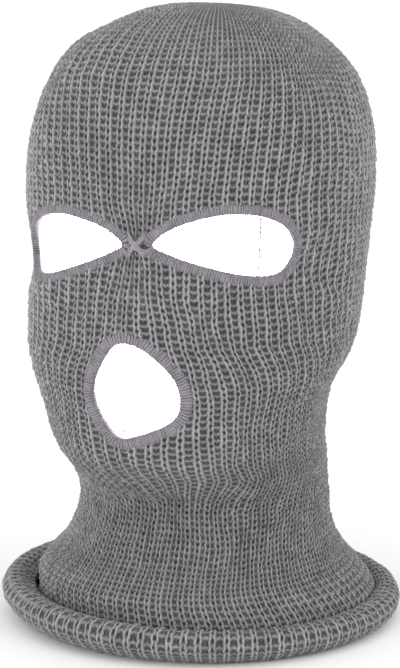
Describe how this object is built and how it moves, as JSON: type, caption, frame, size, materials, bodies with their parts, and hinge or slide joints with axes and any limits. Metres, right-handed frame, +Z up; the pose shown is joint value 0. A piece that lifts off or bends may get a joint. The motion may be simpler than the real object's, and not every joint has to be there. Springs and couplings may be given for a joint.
{
  "type": "balaclava",
  "caption": "Rib-knit balaclava with eye and mouth openings edged in thread, a flared neck and a hem rolled outward.",
  "frame": {"origin": "centre of the bounding box on the plane that the rolled hem rests on", "axes": "+Z up through the crown, the face looks towards -Y, +X is the wearer's left"},
  "size_m": [0.1928, 0.2098, 0.295],
  "materials": {
    "knit": "matte acrylic rib knit, mid grey",
    "edging_thread": "satin overlock thread, mauve grey",
    "seam_thread": "matte overlock thread, grey",
    "label": "blank woven satin tape, off white"
  },
  "bodies": {
    "hood": {"knit_hood": "knit", "left_eye_edging": "edging_thread", "right_eye_edging": "edging_thread", "mouth_edging": "edging_thread", "bridge_tack": "edging_thread", "crown_seam_front_left": "seam_thread", "crown_seam_front_right": "seam_thread", "crown_seam_back_left": "seam_thread", "crown_seam_back_right": "seam_thread", "crown_stitch": "seam_thread", "back_seam": "seam_thread"},
    "label": {"care_label": "label"}
  },
  "joints": [
    {"name": "label_flap", "type": "hinge", "parent": "hood", "child": "label", "pos_m": [0, 0.05219, 0.06], "axis": [0, 0, 1], "range_deg": [-146, 2]}
  ]
}
